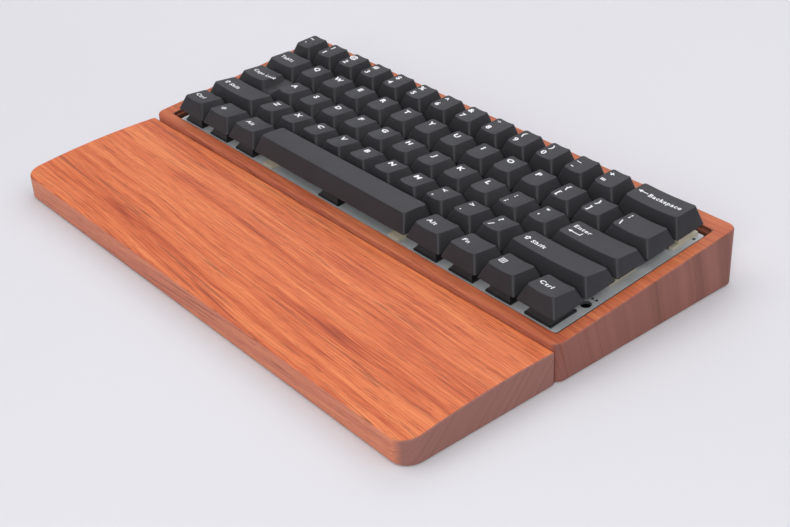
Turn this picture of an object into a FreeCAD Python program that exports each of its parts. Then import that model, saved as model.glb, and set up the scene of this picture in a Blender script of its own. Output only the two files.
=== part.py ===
"""Sixty-percent mechanical keyboard in a wooden wedge case, with a separate wooden wrist rest.

Millimetres. The object frame has +Z up, +X to the typist's right and +Y towards the back. Its
origin is on the table, in the middle of the footprint of the case and the wrist rest together.
The board frame is used for everything that is tilted with the circuit board. Its origin is the
front left corner of the key field on the top of the switch plate, and its z is the plate's normal.
"""
import FreeCAD, Part
import math
import os

V = FreeCAD.Vector

# ---- layout -------------------------------------------------------------------------------
PITCH = 19.05                    # key spacing
BOARD_TILT = 4.7                 # degrees, the rear is higher
BOARD_ORIGIN = V(-138.25, -10.85, 19.3)

# Rows from the back to the front: (profile row, centre of the row in the board frame, keys)
# Each key is (name, width in key units).
NUMBER_KEYS = ["grave", "1", "2", "3", "4", "5", "6", "7", "8", "9", "0", "minus", "equals"]
TOP_LETTERS = ["q", "w", "e", "r", "t", "y", "u", "i", "o", "p", "left_bracket", "right_bracket"]
HOME_LETTERS = ["a", "s", "d", "f", "g", "h", "j", "k", "l", "semicolon", "quote"]
LOW_LETTERS = ["z", "x", "c", "v", "b", "n", "m", "comma", "period", "slash"]
ROWS = [
    (1, 4.5, [(k, 1.0) for k in NUMBER_KEYS] + [("backspace", 2.0)]),
    (2, 3.5, [("tab", 1.5)] + [(k, 1.0) for k in TOP_LETTERS] + [("backslash", 1.5)]),
    (3, 2.5, [("caps_lock", 1.75)] + [(k, 1.0) for k in HOME_LETTERS] + [("enter", 2.25)]),
    (4, 1.5, [("left_shift", 2.25)] + [(k, 1.0) for k in LOW_LETTERS] + [("right_shift", 2.75)]),
    (5, 0.5, [("left_ctrl", 1.25), ("system", 1.25), ("left_alt", 1.25), ("space", 6.25),
              ("right_alt", 1.25), ("fn", 1.25), ("menu", 1.25), ("right_ctrl", 1.25)]),
]
# Keys that share one node, because a library part holds at most sixty nodes
SHARED_NODES = {"numbers_left": NUMBER_KEYS[:6], "numbers_right": NUMBER_KEYS[6:],
                "top_letters_left": TOP_LETTERS[:6], "top_letters_right": TOP_LETTERS[6:]}
STABILISED = {"backspace": 11.94, "enter": 11.94, "left_shift": 11.94, "right_shift": 11.94,
              "space": 50.0}     # distance of the stabiliser stems from the key's centre

# ---- keycaps ------------------------------------------------------------------------------
CAP_BASE_Z = 6.4                 # skirt above the plate, key at rest
CAP_GAP = 0.47                   # half of the space between two skirts
CAP_BASE_R = 1.0                 # plan radius of the skirt's corners
CAP_TOP_W = 10.9                 # width of the top of a one-unit cap
CAP_TOP_R = 1.6
# The sides of a cap differ from row to row, and the space bar has sides of its own
CAP_TOP_D = {1: 13.5, 2: 13.5, 3: 13.5, 4: 13.5, 5: 13.5, "space": 13.6}
CAP_SKEW = {1: 1.5, 2: 1.5, 3: 1.5, 4: 1.5, 5: 1.5, "space": 2.0}    # top towards the back
CAP_TOP_Z = {1: 8.7, 2: 6.8, 3: 6.1, 4: 6.8, 5: 6.8, "space": 8.2}   # middle of the top above the skirt
CAP_TILT = {1: 2.0, 2: 5.0, 3: 8.0, 4: 11.0, 5: 10.0, "space": 7.0}  # degrees, front edge higher
CAP_DISH = 0.6                   # depth of the cylindrical dish
CAP_WALL = 1.3
CAP_ROOF = 1.25                  # below the plane of the top, so thinner under the dish
POST_R = 2.75
CAPS_RAISED_TOP = 19.2           # width of the raised part of the stepped key
CAPS_LEDGE_Z = 2.6               # ledge of the stepped key above the skirt
SPACE_CROWN = 0.3                # rise of the space bar's convex top
SPACE_WIDER = 1.0                # extra width of the space bar's top

# ---- switches -----------------------------------------------------------------------------
TRAVEL = 4.0
PLATE_T = 1.5
PLATE_SIZE = (285.0, 94.6)
SWITCH_CUTOUT = 14.0
FLANGE = 15.6
HOUSING_TOP_Z = 6.6
CROSS_TOP_Z = 10.2
BOARD_TOP_Z = -5.0
BOARD_T = 1.6
POLE_R = 1.95
STEM_POLE_R = 1.45
SPRING_R = 2.45
SPRING_WIRE_R = 0.15
SPRING_TURNS = 5

# ---- stabilisers --------------------------------------------------------------------------
STAB_W = 6.8
WIRE_R = 0.8
WIRE_Y = -9.5                    # axis of the wire's long bar, from the row's centre
WIRE_Z = 1.0
WIRE_REACH = 9.0                 # from the bar's axis to the tips, seen from above
STAB_TIP_Z = WIRE_Z + TRAVEL / 2

# ---- case and wrist rest ------------------------------------------------------------------
CASE_X = (-154.15, 154.75)
CASE_Y = (-16.75, 97.85)
CASE_FRONT_H = 19.65
CASE_TILT = 4.85
CASE_CORNER_R = 5.0
CASE_BOTTOM_R = 0.8
CASE_EDGE_R = 0.9
FOOT_H = 0.4                     # how far the rubber feet lift the wood
FOOT_POCKET = 1.6                # depth of the pockets the feet are glued into
OPENING_X = (-145.45, 148.35)
OPENING_Y = (-10.85, 88.45)
OPENING_R = 2.6
STEP_W = 1.8                     # step inside the opening, at the left and the rear only
STEP_DEPTH = 1.7
FLOOR_Z = 6.0
BOSS_R = 4.0
USB_X = 36.0                     # from the left end of the key field
USB_HOLE = (13.0, 7.5)

REST_X = (-154.75, 154.0)
REST_Y = (-97.85, -17.05)
REST_REAR_H = 16.9
REST_MID = (-62.85, 16.2)        # a point of the arched top: y and height
REST_FRONT_H = 12.6
REST_FRONT_R = 9.0
REST_REAR_R = 1.2
REST_BOTTOM_R = 0.8
REST_EDGE_R = 0.9

SCREWS = [(25.6, 67.0), (128.6, 47.9), (190.9, 9.7), (260.2, 67.0), (3.6, 38.2), (281.0, 23.5)]
ACCESS_R = 2.5
SMALL_HOLES = [(280.2, 28.4), (282.4, 28.4), (283.4, 90.0)]


# ---- small helpers ------------------------------------------------------------------------
def box(x, y, z):
    """Box from three (low, high) pairs."""
    return Part.makeBox(x[1] - x[0], y[1] - y[0], z[1] - z[0], V(x[0], y[0], z[0]))


def centred_box(w, d, z):
    return box((-w / 2, w / 2), (-d / 2, d / 2), z)


def cyl(r, low, height, axis=V(0, 0, 1)):
    return Part.makeCylinder(r, height, low, axis)


def rect_wire(w, d, r, place=None):
    """Rectangle of arcs and lines about the origin, corner radius r, moved by a placement."""
    x = w / 2 - r
    y = d / 2 - r
    k = r * math.sqrt(0.5)
    corners = [(x, y, 1, 1), (-x, y, -1, 1), (-x, -y, -1, -1), (x, -y, 1, -1)]
    edges = []
    previous = V(x + r, -y, 0)
    for cx, cy, sx, sy in corners:
        ends = [V(cx + sx * r, cy, 0), V(cx, cy + sy * r, 0)]
        if sx * sy < 0:
            ends.reverse()
        edges.append(Part.makeLine(previous, ends[0]))
        edges.append(Part.Arc(ends[0], V(cx + sx * k, cy + sy * k, 0), ends[1]).toShape())
        previous = ends[1]
    wire = Part.Wire(edges)
    if place is not None:
        wire.Placement = place
    return wire


def sharp_wire(w, d, place):
    pts = [V(-w / 2, -d / 2, 0), V(w / 2, -d / 2, 0), V(w / 2, d / 2, 0), V(-w / 2, d / 2, 0)]
    pts = [place.multVec(p) for p in pts]
    return Part.makePolygon(pts + [pts[0]])


def prism(w, d, r, z0, z1):
    return Part.Face(rect_wire(w, d, r)).extrude(V(0, 0, z1 - z0)).translated(V(0, 0, z0))


def frustum(w0, d0, z0, w1, d1, z1):
    """Flat-sided frustum between two level rectangles."""
    low = sharp_wire(w0, d0, FreeCAD.Placement(V(0, 0, z0), FreeCAD.Rotation()))
    high = sharp_wire(w1, d1, FreeCAD.Placement(V(0, 0, z1), FreeCAD.Rotation()))
    return Part.makeLoft([low, high], True, True)


def union(shapes):
    return shapes[0].multiFuse(shapes[1:]).removeSplitter() if len(shapes) > 1 else shapes[0]


def moved(shape, x, y, z=0.0):
    return shape.translated(V(x, y, z))


def on_board(shape):
    """Carry a shape from the board frame to the object frame."""
    copy = shape.copy()
    copy.rotate(V(0, 0, 0), V(1, 0, 0), BOARD_TILT)
    copy.translate(BOARD_ORIGIN)
    return copy


def export(name, solids):
    """Write one node: a single solid, or a compound of separate solids."""
    shape = solids[0] if len(solids) == 1 else Part.makeCompound(solids)
    shape.exportStep("parts/%s.step" % name)
    volume = sum(s.Volume for s in solids)
    print("%-28s %3d solids %10.1f mm3 valid %s" % (name, len(solids), volume, shape.isValid()))


def key_list():
    """Every key as (name, profile row, x centre, y centre, width in units)."""
    keys = []
    for row, centre, items in ROWS:
        x = 0.0
        for name, units in items:
            keys.append((name, row, (x + units / 2) * PITCH, centre * PITCH, units))
            x += units
    return keys


# ---- keycaps ------------------------------------------------------------------------------
def top_place(row, dz=0.0, dx=0.0):
    """Placement of the plane of a cap's top, dz above it along the key's axis."""
    turn = FreeCAD.Rotation(V(1, 0, 0), -CAP_TILT[row])
    return FreeCAD.Placement(V(dx, CAP_SKEW[row], CAP_BASE_Z + CAP_TOP_Z[row] + dz), turn)


def cap_block(row, base_w, top_w, dx=0.0):
    base = rect_wire(base_w, PITCH - 2 * CAP_GAP, CAP_BASE_R,
                     FreeCAD.Placement(V(dx, 0, CAP_BASE_Z), FreeCAD.Rotation()))
    top = rect_wire(top_w, CAP_TOP_D[row], CAP_TOP_R, top_place(row, 0.0, dx))
    return Part.makeLoft([base, top], True, True)


def dish_cutter(row, top_w, dx=0.0):
    """Cylinder along the key's depth that leaves a dish of the stated depth."""
    r = (top_w * top_w / 4 + CAP_DISH * CAP_DISH) / (2 * CAP_DISH)
    place = top_place(row, 0.0, dx)
    low = place.multVec(V(0, -15, r - CAP_DISH))
    axis = place.Rotation.multVec(V(0, 1, 0))
    return cyl(r, low, 30, axis)


def hollow(row, base_w, top_w, dx=0.0):
    """Flat-sided inside of a cap."""
    base = sharp_wire(base_w - 2 * CAP_WALL, PITCH - 2 * CAP_GAP - 2 * CAP_WALL,
                      FreeCAD.Placement(V(dx, 0, CAP_BASE_Z - 0.001), FreeCAD.Rotation()))
    place = top_place(row, -CAP_ROOF, dx)
    top = sharp_wire(top_w - 2 * CAP_WALL, CAP_TOP_D[row] - 2 * CAP_WALL, place)
    return Part.makeLoft([base, top], True, True)


def cross(arm, thick_x, thick_y, z):
    """Cross of two bars, one along X and one along Y."""
    return union([centred_box(arm, thick_y, z), centred_box(thick_x, arm, z)])


def post(row, x=0.0):
    """Round post with a cross-shaped socket, trimmed to the cap's roof."""
    rod = cyl(POST_R, V(x, 0, HOUSING_TOP_Z + 0.1), 8)
    roof = FreeCAD.Placement(top_place(row, -CAP_ROOF + 0.3))
    above = Part.makeBox(200, 40, 12, V(-100, -20, 0))
    above.Placement = roof.multiply(above.Placement)
    socket = moved(cross(4.06, 1.22, 1.36, (HOUSING_TOP_Z, CROSS_TOP_Z + 0.15)), x, 0)
    return rod.cut(above).cut(socket)


def make_cap(name, row, units):
    base_w = units * PITCH - 2 * CAP_GAP
    top_w = CAP_TOP_W + (units - 1) * PITCH
    if name == "space":
        row = name
        top_w += SPACE_WIDER
        outside = space_block(row, base_w, top_w)
        inside = hollow(row, base_w, top_w)
    elif name == "caps_lock":
        outside, inside = stepped_block(row, base_w)
    else:
        outside = cap_block(row, base_w, top_w).cut(dish_cutter(row, top_w))
        inside = hollow(row, base_w, top_w)
    spots = [0.0]
    if name in STABILISED:
        spots += [-STABILISED[name], STABILISED[name]]
    posts = [post(row, x) for x in spots]
    cap = outside.cut(inside).fuse(posts)
    return cap.Solids[0] if len(cap.Solids) == 1 else cap


def space_block(row, base_w, top_w):
    """Space bar: a lofted block whose top is crowned along its depth."""
    block = cap_block(row, base_w, top_w)
    place = top_place(row)
    half = CAP_TOP_D[row] / 2
    r = (half * half + SPACE_CROWN * SPACE_CROWN) / (2 * SPACE_CROWN)
    middle = place.multVec(V(-160, 0, -r))
    crown = cyl(r, middle, 320, V(1, 0, 0))
    return block.common(crown)


def stepped_block(row, base_w):
    """Caps Lock: a raised part at the left over a low ledge as wide as the key."""
    low = cap_block(row, base_w, base_w - 7.1)
    trim = centred_box(60, 40, (CAP_BASE_Z + CAPS_LEDGE_Z, CAP_BASE_Z + 20))
    low = low.cut(trim)
    raised_w = CAPS_RAISED_TOP + 7.2
    dx = -(base_w - raised_w) / 2
    high = cap_block(row, raised_w, CAPS_RAISED_TOP, dx).cut(dish_cutter(row, CAPS_RAISED_TOP, dx))
    inner_low = frustum(base_w - 2 * CAP_WALL, PITCH - 2 * CAP_GAP - 2 * CAP_WALL, CAP_BASE_Z - 0.001,
                        base_w - 2 * CAP_WALL - 1.2, PITCH - 2 * CAP_GAP - 2 * CAP_WALL - 1.2,
                        CAP_BASE_Z + CAPS_LEDGE_Z - CAP_WALL)
    inside = union([inner_low, hollow(row, raised_w, CAPS_RAISED_TOP, dx)])
    return union([low, high]), inside


# ---- switches -----------------------------------------------------------------------------
def switch_stem():
    """Slider with the cross on top and the guide pole below."""
    parts = [
        cross(4.0, 1.17, 1.31, (HOUSING_TOP_Z - 0.2, CROSS_TOP_Z)),
        centred_box(6.4, 5.6, (5.0, HOUSING_TOP_Z)),
        centred_box(7.4, 6.9, (2.2, 5.3)),
        cyl(STEM_POLE_R, V(0, 0, -3.9), 6.3),
    ]
    return union(parts)


def top_housing():
    outer = frustum(14.6, 14.6, 1.0, 8.0, 8.4, HOUSING_TOP_Z)
    inner = frustum(13.0, 13.0, 0.999, 7.9, 7.6, 5.4)
    way = centred_box(6.6, 5.8, (5.0, 7.0))
    return outer.cut(inner).cut(way)


def bottom_housing():
    body = [
        centred_box(SWITCH_CUTOUT - 0.1, SWITCH_CUTOUT - 0.1, (BOARD_TOP_Z + 0.02, 0.0)),
        centred_box(FLANGE, FLANGE, (0.0, 1.0)),
        cyl(POLE_R, V(0, 0, BOARD_TOP_Z - 3.5), 4.0),
    ]
    inner = centred_box(12.2, 12.2, (-3.6, 1.1))
    bore = cyl(STEM_POLE_R + 0.2, V(0, 0, BOARD_TOP_Z - 3.1), 6.0)
    return union(body).cut(inner).cut(bore)


def return_spring():
    """Coil spring built from tilted half rings, which meet end to end with no kink."""
    low = -3.6 + SPRING_WIRE_R + 0.1
    rise = (2.2 - SPRING_WIRE_R - 0.1 - low) / (2 * SPRING_TURNS)
    halves = []
    for n in range(2 * SPRING_TURNS):
        side = 1 if n % 2 == 0 else -1
        start = V(side * SPRING_R, 0, low + n * rise)
        section = Part.Face(Part.Wire(Part.makeCircle(SPRING_WIRE_R, start, V(0, 1, 0))))
        centre = V(0, 0, low + (n + 0.5) * rise)
        axis = V(side * rise / 2, 0, SPRING_R)
        halves.append(section.revolve(centre, axis, 180))
    return union(halves)


# ---- stabilisers --------------------------------------------------------------------------
def stab_housing(side):
    """One stabiliser housing; side is +1 for the right one and -1 for the left one."""
    body = union([
        centred_box(STAB_W, 15.6, (-3.0, 0.0)),
        centred_box(STAB_W + 0.6, 16.6, (0.0, 1.6)),
        centred_box(STAB_W + 0.6, 9.2, (1.6, 5.4)),
    ])
    stem_room = union([centred_box(5.0, 6.6, (-3.1, 6.0)), centred_box(5.7, 6.6, (2.3, 6.0))])
    arm_room = box((-1.1, 1.1), (-8.5, -3.2), (-3.1, 4.9))
    inner = -side
    lug = box((inner * 2.2 - 0.9, inner * 2.2 + 0.9), (-11.0, -8.2), (0.0, 1.6))
    cradle = cyl(WIRE_R + 0.06, V(inner * 2.2 - 2, WIRE_Y, WIRE_Z), 4, V(1, 0, 0))
    return body.cut(stem_room).cut(arm_room).fuse(lug).removeSplitter().cut(cradle)


def stab_stem():
    """Slider with a cross on top; the wire's tip sits in its pocket."""
    body = union([
        centred_box(4.8, 6.4, (-0.5, HOUSING_TOP_Z)),
        cross(4.0, 1.17, 1.31, (HOUSING_TOP_Z - 0.2, CROSS_TOP_Z)),
    ])
    pocket = box((-1.05, 1.05), (-3.3, 1.2), (STAB_TIP_Z - 1.7, STAB_TIP_Z + 1.7))
    return body.cut(pocket)


def stab_wire(reach):
    """Bar across the key with an arm at each end, tips raised by half the travel."""
    angle = math.atan2(TRAVEL / 2, WIRE_REACH)
    length = WIRE_REACH / math.cos(angle)
    arm_axis = V(0, math.cos(angle), math.sin(angle))
    parts = [cyl(WIRE_R, V(-reach, WIRE_Y, WIRE_Z), 2 * reach, V(1, 0, 0))]
    for x in (-reach, reach):
        parts.append(Part.makeSphere(WIRE_R, V(x, WIRE_Y, WIRE_Z)))
        parts.append(cyl(WIRE_R, V(x, WIRE_Y, WIRE_Z), length, arm_axis))
    return union(parts)


def turned_stab(shape, key):
    """The space bar's stabiliser faces the back, because the case rim is in front of it."""
    if key != "space":
        return shape
    copy = shape.copy()
    copy.rotate(V(0, 0, 0), V(0, 0, 1), 180)
    return copy


# ---- plate and board ----------------------------------------------------------------------
def make_plate(keys):
    w, d = PLATE_SIZE
    cx = 7.5 * PITCH
    cy = 2.5 * PITCH
    plate = moved(prism(w, d, 1.0, -PLATE_T, 0.0), cx, cy)
    tools = []
    for name, row, x, y, units in keys:
        tools.append(moved(centred_box(SWITCH_CUTOUT, SWITCH_CUTOUT, (-3, 1)), x, y))
        if name in STABILISED:
            for side in (-1, 1):
                hole = union([centred_box(STAB_W + 0.2, 15.8, (-3, 1)),
                              box((-1.2, 1.2), (-9.4, -7), (-3, 1))])
                tools.append(moved(turned_stab(hole, name), x + side * STABILISED[name], y))
    for x, y in SCREWS:
        tools.append(cyl(ACCESS_R, V(x, y, -3), 4))
    for x, y in SMALL_HOLES:
        tools.append(cyl(0.8, V(x, y, -3), 4))
    return plate.cut(tools)


def make_board(keys):
    w, d = PLATE_SIZE
    low = BOARD_TOP_Z - BOARD_T
    board = moved(prism(w, d, 1.0, low, BOARD_TOP_Z), 7.5 * PITCH, 2.5 * PITCH)
    tools = [cyl(POLE_R + 0.05, V(x, y, low - 1), 4) for _, _, x, y, _ in keys]
    tools += [cyl(1.15, V(x, y, low - 1), 4) for x, y in SCREWS]
    return board.cut(tools)


def board_screw(x, y):
    head = cyl(1.9, V(x, y, BOARD_TOP_Z), 1.3)
    drive = moved(centred_box(0.5, 2.4, (BOARD_TOP_Z + 0.7, BOARD_TOP_Z + 2)), x, y)
    shank = cyl(1.0, V(x, y, BOARD_TOP_Z - 6.0), 6.0)
    return union([head, shank]).cut(drive)


def insert(x, y):
    top = BOARD_TOP_Z - BOARD_T - 0.1
    return cyl(1.6, V(x, y, top - 5.0), 5.0).cut(cyl(1.03, V(x, y, top - 6), 7))


def usb_parts():
    """USB socket under the rear edge of the board: shell and tongue."""
    z = BOARD_TOP_Z - BOARD_T - 1.63
    rear = 95.7
    tube = Part.Face(rect_wire(8.94, 3.2, 1.5)).extrude(V(0, 0, 7.3))
    room = Part.Face(rect_wire(8.34, 2.6, 1.25)).extrude(V(0, 0, 6.6)).translated(V(0, 0, 0.701))
    shell = tube.cut(room)
    tongue = box((-3.35, 3.35), (-0.35, 0.35), (0.702, 5.6))
    out = []
    for s in (shell, tongue):
        s.rotate(V(0, 0, 0), V(1, 0, 0), -90)
        out.append(moved(s, USB_X, rear - 7.3, z))
    return out


# ---- case ---------------------------------------------------------------------------------
def above_plane(tilt, point):
    """Large block above a plane that is tilted about X through a point."""
    block = Part.makeBox(500, 500, 100, V(-250, -250, 0))
    block.rotate(V(0, 0, 0), V(1, 0, 0), tilt)
    block.translate(point)
    return block


def span(pair):
    return pair[1] - pair[0], (pair[0] + pair[1]) / 2


def fillet_where(shape, radius, test):
    edges = [e for e in shape.Edges if test(e)]
    return shape.makeFillet(radius, edges)


def make_case():
    w, cx = span(CASE_X)
    d, cy = span(CASE_Y)
    block = moved(prism(w, d, CASE_CORNER_R, FOOT_H, 40), cx, cy)
    block = block.cut(above_plane(CASE_TILT, V(0, CASE_Y[0], CASE_FRONT_H)))
    block = fillet_where(block, CASE_BOTTOM_R, lambda e: e.BoundBox.ZMax < FOOT_H + 0.01)
    block = fillet_where(block, CASE_EDGE_R,
                         lambda e: e.BoundBox.ZMin > CASE_FRONT_H - 0.1 and e.Length > 0.5)
    ow, ox = span(OPENING_X)
    od, oy = span(OPENING_Y)
    mouth = moved(prism(ow, od, OPENING_R, 0, 60), ox, oy)
    step_point = V(0, CASE_Y[0], CASE_FRONT_H - STEP_DEPTH)
    mouth = mouth.common(above_plane(CASE_TILT, step_point))
    ww, wx = span((OPENING_X[0] + STEP_W, OPENING_X[1]))
    wd, wy = span((OPENING_Y[0], OPENING_Y[1] - STEP_W))
    well = moved(prism(ww, wd, 2.5, FLOOR_Z, 60), wx, wy)
    case = block.cut([mouth, well])
    under_board = on_board(box((-50, 350), (-50, 150), (BOARD_TOP_Z - BOARD_T, 60)))
    for x, y in SCREWS:
        foot = on_board(Part.Vertex(V(x, y, BOARD_TOP_Z - BOARD_T))).Point
        boss = cyl(BOSS_R, V(foot.x, foot.y, FLOOR_Z - 0.5), 30).cut(under_board)
        case = case.fuse(boss)
    for x, y in SCREWS:
        top = BOARD_TOP_Z - BOARD_T
        case = case.cut(on_board(cyl(1.62, V(x, y, top - 6.2), 8)))
    rear = on_board(Part.Vertex(V(USB_X, 95.7, BOARD_TOP_Z - BOARD_T - 1.63))).Point
    hole = Part.Face(rect_wire(USB_HOLE[0], USB_HOLE[1], 2.0)).extrude(V(0, 0, 30))
    hole.rotate(V(0, 0, 0), V(1, 0, 0), -90)
    hole.translate(V(rear.x, OPENING_Y[1] - STEP_W - 3, rear.z))
    case = case.cut([hole] + [foot_pocket(x, y) for x, y in case_foot_spots()])
    return case.removeSplitter()


def case_foot_spots():
    return [(x, y) for x in (CASE_X[0] + 18, CASE_X[1] - 18) for y in (CASE_Y[0] + 15, CASE_Y[1] - 15)]


def rest_foot_spots():
    return [(x, y) for x in (REST_X[0] + 18, REST_X[1] - 18) for y in (REST_Y[0] + 18, REST_Y[1] - 14)]


def foot_pocket(x, y):
    return cyl(6.05, V(x, y, FOOT_H - 1), 1 + FOOT_POCKET)


def rubber_foot(x, y):
    pad = cyl(6.0, V(x, y, 0), FOOT_H + FOOT_POCKET)
    return fillet_where(pad, 0.3, lambda e: e.BoundBox.ZMax < 0.01)


# ---- wrist rest ---------------------------------------------------------------------------
def make_wrist_rest():
    w = REST_X[1] - REST_X[0]
    y0, y1 = REST_Y
    arch = Part.Arc(V(0, y0, REST_FRONT_H), V(0, REST_MID[0], REST_MID[1]), V(0, y1, REST_REAR_H))
    outline = Part.Wire([
        arch.toShape(),
        Part.makeLine(V(0, y1, REST_REAR_H), V(0, y1, FOOT_H)),
        Part.makeLine(V(0, y1, FOOT_H), V(0, y0, FOOT_H)),
        Part.makeLine(V(0, y0, FOOT_H), V(0, y0, REST_FRONT_H)),
    ])
    bar = Part.Face(outline).extrude(V(w, 0, 0)).translated(V(REST_X[0], 0, 0))
    bar = fillet_where(bar, REST_FRONT_R, lambda e: upright_at(e, y0))
    bar = fillet_where(bar, REST_REAR_R, lambda e: upright_at(e, y1))
    bar = fillet_where(bar, REST_BOTTOM_R, lambda e: e.BoundBox.ZMax < FOOT_H + 0.01)
    bar = fillet_where(bar, REST_EDGE_R, lambda e: e.BoundBox.ZMin > REST_FRONT_H - 0.5)
    return bar.cut([foot_pocket(x, y) for x, y in rest_foot_spots()])


def upright_at(edge, y):
    """True for a vertical edge that stands at the given y."""
    b = edge.BoundBox
    return b.ZLength > 5 and b.XLength < 0.01 and b.YLength < 0.01 and abs(b.YMin - y) < 0.01


# ---- build --------------------------------------------------------------------------------
def build_keys(keys):
    """One node for each key, or one for each shared row: caps, stems and stabiliser stems."""
    caps = {}
    stem = switch_stem()
    side_stem = stab_stem()
    nodes = {}
    owner = {k: group for group, members in SHARED_NODES.items() for k in members}
    for name, row, x, y, units in keys:
        special = name in STABILISED or name in ("space", "caps_lock")
        kind = (name if special else "", row, units)
        if kind not in caps:
            caps[kind] = make_cap(name, row, units)
        solids = [moved(caps[kind], x, y), moved(stem, x, y)]
        for side in ((-1, 1) if name in STABILISED else ()):
            part = turned_stab(side_stem, name)
            solids.append(moved(part, x + side * STABILISED[name], y))
        nodes.setdefault("key_" + owner.get(name, name), []).extend(on_board(s) for s in solids)
    return nodes


def main():
    os.makedirs("parts", exist_ok=True)
    keys = key_list()
    for node, solids in build_keys(keys).items():
        export(node, solids)
    spots = [(x, y) for _, _, x, y, _ in keys]
    for node, piece in (("switch_top_housings", top_housing()),
                        ("switch_bottom_housings", bottom_housing()),
                        ("switch_springs", return_spring())):
        export(node, [on_board(moved(piece, x, y)) for x, y in spots])
    housings = []
    for name, row, x, y, units in keys:
        if name not in STABILISED:
            continue
        reach = STABILISED[name]
        export("wire_" + name, [on_board(moved(turned_stab(stab_wire(reach), name), x, y))])
        for side in (-1, 1):
            flip = -side if name == "space" else side
            part = turned_stab(stab_housing(flip), name)
            housings.append(on_board(moved(part, x + side * reach, y)))
    export("stabilizer_housings", housings)
    export("switch_plate", [on_board(make_plate(keys))])
    export("circuit_board", [on_board(make_board(keys))])
    low = BOARD_TOP_Z - BOARD_T
    export("controller_chip", [on_board(moved(centred_box(7, 7, (low - 1.0, low)), 150, 57.15))])
    diode = centred_box(2.7, 1.6, (low - 1.1, low))
    export("diodes", [on_board(moved(diode, x + 4.8, y - 4.8)) for x, y in spots])
    export("usb_socket", [on_board(s) for s in usb_parts()])
    export("board_screws", [on_board(board_screw(x, y)) for x, y in SCREWS])
    export("threaded_inserts", [on_board(insert(x, y)) for x, y in SCREWS])
    export("case", [make_case()])
    export("case_feet", [rubber_foot(x, y) for x, y in case_foot_spots()])
    export("wrist_rest", [make_wrist_rest()])
    export("wrist_rest_feet", [rubber_foot(x, y) for x, y in rest_foot_spots()])


main()
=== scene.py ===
"""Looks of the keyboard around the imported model: keycaps with legends, wood, metal, floor and light.

Lengths are millimetres until a mesh is made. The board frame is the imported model's: its origin is
the front left corner of the key field on the switch plate, tilted about X.
"""

import math

import bmesh
import bpy
import numpy as np
from mathutils import Matrix, Vector


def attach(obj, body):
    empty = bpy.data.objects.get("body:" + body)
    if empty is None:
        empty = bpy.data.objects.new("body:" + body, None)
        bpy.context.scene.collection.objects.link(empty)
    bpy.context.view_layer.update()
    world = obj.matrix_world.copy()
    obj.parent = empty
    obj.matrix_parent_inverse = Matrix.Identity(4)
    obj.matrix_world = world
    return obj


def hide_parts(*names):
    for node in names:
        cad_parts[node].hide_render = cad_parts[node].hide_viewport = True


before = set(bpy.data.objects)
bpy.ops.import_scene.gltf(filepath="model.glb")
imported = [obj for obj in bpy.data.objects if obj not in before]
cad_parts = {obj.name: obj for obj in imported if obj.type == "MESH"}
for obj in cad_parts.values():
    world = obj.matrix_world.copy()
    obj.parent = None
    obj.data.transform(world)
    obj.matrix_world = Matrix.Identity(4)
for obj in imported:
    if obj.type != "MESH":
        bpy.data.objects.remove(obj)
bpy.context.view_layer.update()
MM = 0.001

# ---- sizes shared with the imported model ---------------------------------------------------
PITCH = 19.05
CAP_GAP = 0.47                          # between a cap's foot and the edge of its square
TILT = math.radians(4.7)
BOARD_ORIGIN = (-138.25, -10.85, 19.3)
BASE_Z = 6.4                            # foot of a cap above the plate
CAP_D = PITCH - 2 * CAP_GAP
BASE_R = 1.0
TOP_W = 10.9
TOP_R = 1.6
# For each row from the rear, and for the space bar: depth of the top, how far it is set back,
# its height above the foot and its slope in degrees.
TOP_D = {1: 13.5, 2: 13.5, 3: 13.5, 4: 13.5, 5: 13.5, "space": 13.6}
SKEW = {1: 1.5, 2: 1.5, 3: 1.5, 4: 1.5, 5: 1.5, "space": 2.0}
TOP_Z = {1: 8.7, 2: 6.8, 3: 6.1, 4: 6.8, 5: 6.8, "space": 8.2}
TOP_TILT = {1: 2.0, 2: 5.0, 3: 8.0, 4: 11.0, 5: 10.0, "space": 7.0}
DISH = 0.6                              # hollow of a top, across
CROWN = 0.3                             # fall of the space bar's top towards front and rear
SPACE_WIDER = 1.0
WALL = 1.3
ROOF = 1.25
RAISED_TOP = 19.2                       # raised part of the stepped key
RAISED_SPREAD = 7.2
LEDGE_Z = 2.6
LEDGE_SPREAD = 7.1
CROSS_TOP = 10.2
CROSS_ARM = 4.0
CROSS_THICK = (1.17, 1.31)              # of its arms, measured along X and along Y
SOCKET_ROOM = (0.06, 0.05)              # a socket's cross is longer and thicker by these
POST_R = 2.75
HOUSING_TOP = 6.6
POST_GAP = 0.1                          # between a post and the housing, at rest
# Blocks of the sliders: width, depth, foot and top above the plate.
SLIDER_NECK = (6.4, 5.6, 5.0, HOUSING_TOP)
SLIDER_BODY = (7.4, 6.9, 2.2, 5.3)
POLE_R = 1.45
POLE_LOW, POLE_HIGH = -3.9, 2.4
STAB_HEAD = (4.8, 6.4, 4.7, HOUSING_TOP)
STAB_LEG = (4.8, 1.4, -0.5, 5.0)
SPRING_LOW, SPRING_HIGH = -3.35, 1.95
SPRING_R, SPRING_WIRE_R = 2.45, 0.15
SPRING_TURNS = 5
# The case wood within this opening is darkened with painted shade.
POCKET_X = (1.45, 146.9)                # centre and half size of the case's opening
POCKET_Y = (38.80, 49.65)

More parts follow.
